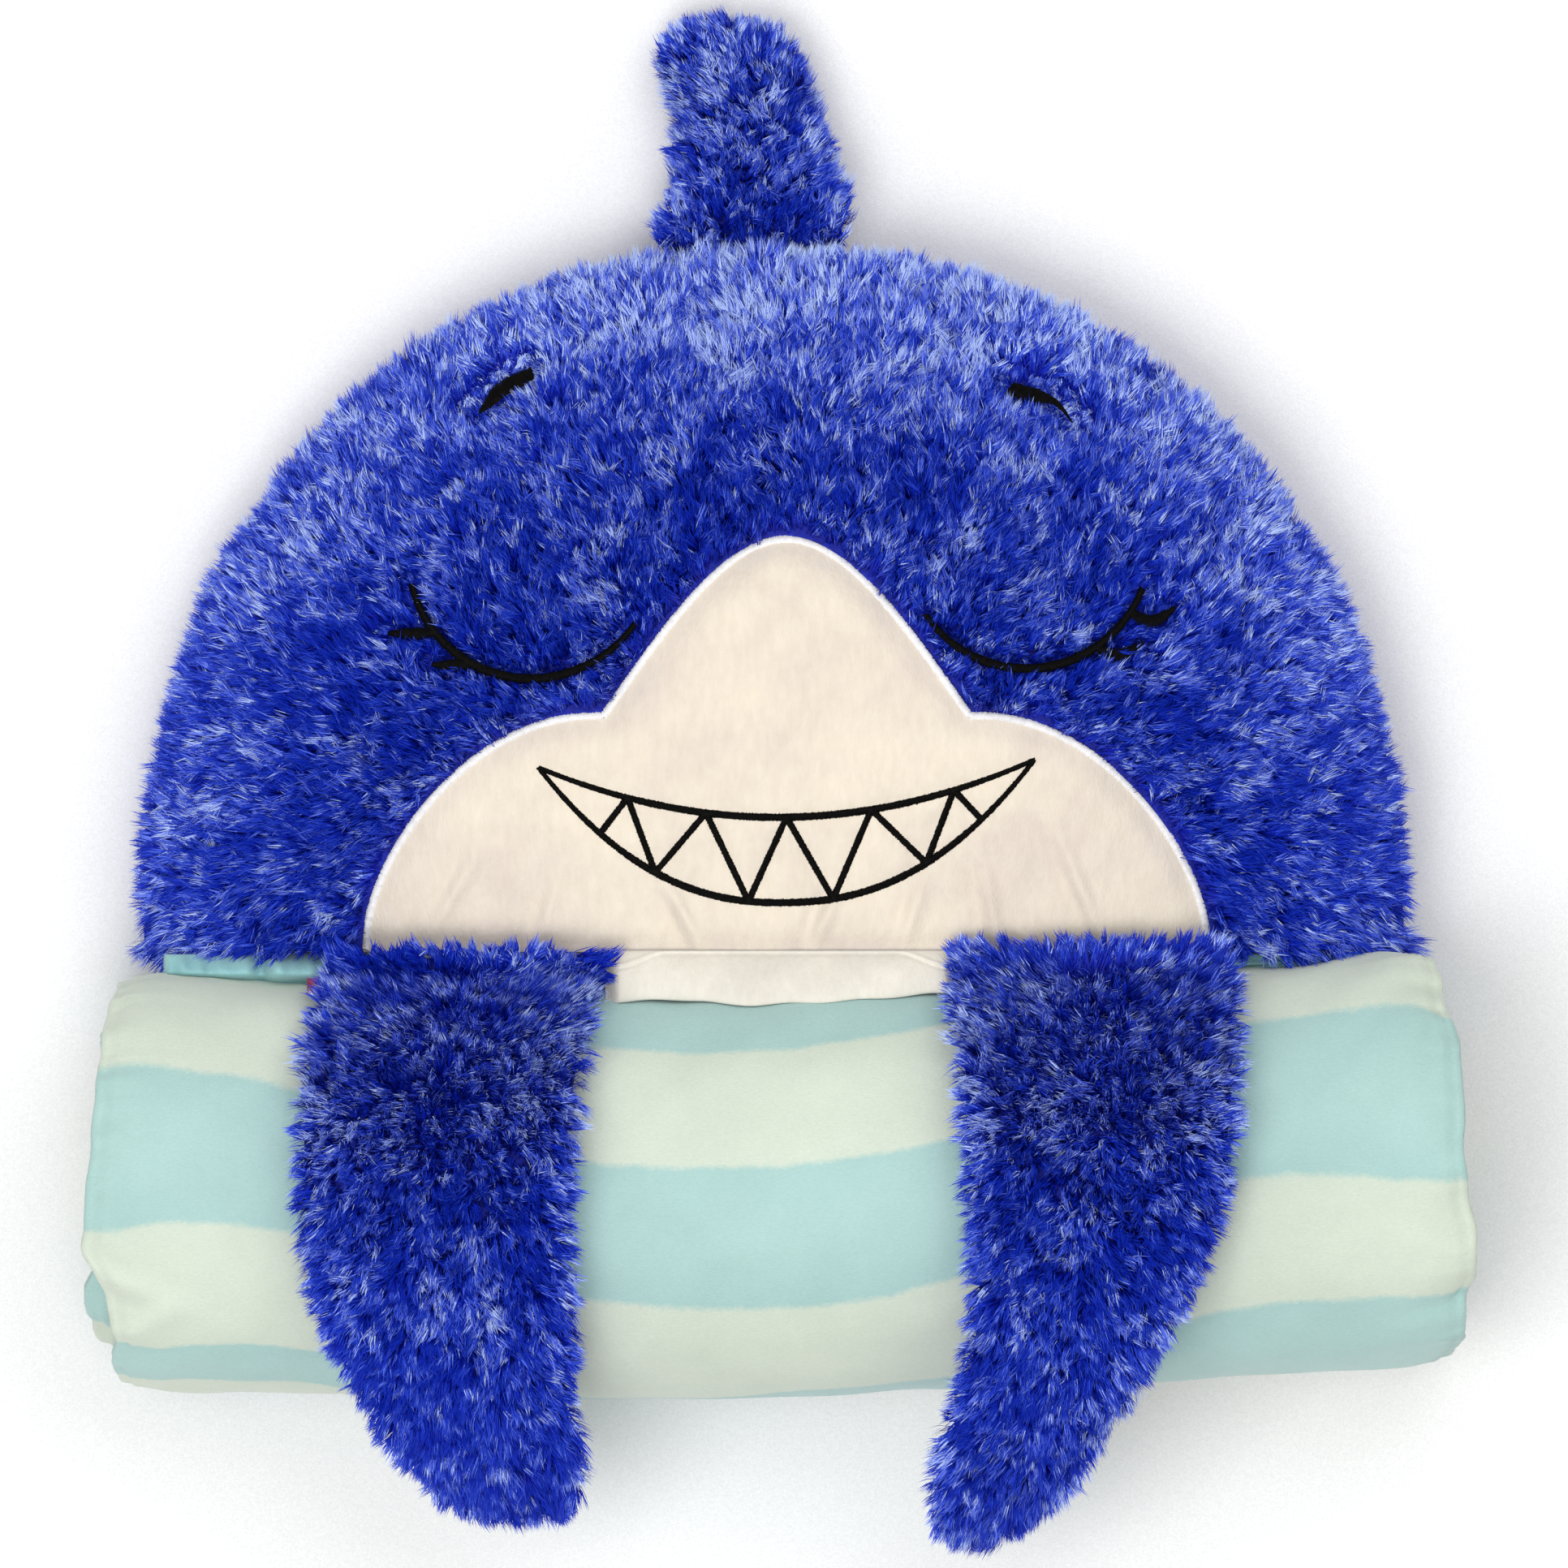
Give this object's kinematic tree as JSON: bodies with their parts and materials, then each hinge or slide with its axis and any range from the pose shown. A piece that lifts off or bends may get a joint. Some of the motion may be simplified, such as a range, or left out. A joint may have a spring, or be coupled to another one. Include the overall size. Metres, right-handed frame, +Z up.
{
  "type": "plush shark slumber bag",
  "caption": "Children's slumber bag with a plush shark's head as its pillow, a back fin and flippers lying over the rolled sleeping sack.",
  "frame": {"origin": "middle of the bottom of the whole object's box, on the surface it lies on", "axes": "+Z up, away from the surface it lies on and out of the face; +Y from the roll towards the fin; +X to the right as the face is seen from above"},
  "size_m": [0.659, 0.728, 0.2032],
  "materials": {
    "plush": "long-pile royal blue plush, lighter at the tips",
    "back_cloth": "smooth royal blue brushed cloth",
    "velboa": "short-nap cream velboa",
    "print": "plain-woven cloth printed with wavy cream and teal stripes",
    "lining": "smooth mint cloth",
    "filling": "loose white polyester fibre",
    "black_thread": "glossy black satin stitch",
    "white_thread": "glossy white satin stitch",
    "label": "plain red ribbon tab, blank"
  },
  "bodies": {
    "sack": {"back_quilt_cover": "print", "back_quilt_batting": "filling", "back_quilt_lining": "lining", "front_quilt_lining": "lining", "front_quilt_batting": "filling", "front_quilt_cover": "print", "left_side_seam": "print", "right_side_seam": "print", "neck_gusset": "lining", "chin_strip": "velboa", "care_label": "label"},
    "head": {"head_front_panel": "plush", "head_back_panel": "back_cloth", "head_neck_panel": "back_cloth", "head_filling": "filling", "face_panel": "velboa", "face_border_stitching": "white_thread", "mouth_stitching": "black_thread", "teeth_stitching": "black_thread", "left_eye_stitching": "black_thread", "right_eye_stitching": "black_thread", "left_brow_stitching": "black_thread", "right_brow_stitching": "black_thread"},
    "fin": {"fin_front_panel": "plush", "fin_back_panel": "plush", "fin_filling": "filling"},
    "left_flipper": {"left_flipper_upper_panel": "plush", "left_flipper_under_panel": "back_cloth", "left_flipper_filling": "filling"},
    "right_flipper": {"right_flipper_upper_panel": "plush", "right_flipper_under_panel": "back_cloth", "right_flipper_filling": "filling"}
  },
  "joints": [
    {"name": "head_fold", "type": "hinge", "parent": "sack", "child": "head", "pos_m": [0, -0.0845, 0.104], "axis": [1, 0, 0], "range_deg": [0, 45]},
    {"name": "fin_fold", "type": "hinge", "parent": "head", "child": "fin", "pos_m": [0, 0.252, 0.04], "axis": [1, 0, 0], "range_deg": [0, 75]},
    {"name": "left_flipper_lift", "type": "hinge", "parent": "sack", "child": "left_flipper", "pos_m": [0, -0.0845, 0.104], "axis": [-1, 0, 0], "range_deg": [0, 60]},
    {"name": "right_flipper_lift", "type": "hinge", "parent": "sack", "child": "right_flipper", "pos_m": [0, -0.0845, 0.104], "axis": [-1, 0, 0], "range_deg": [0, 60]}
  ]
}
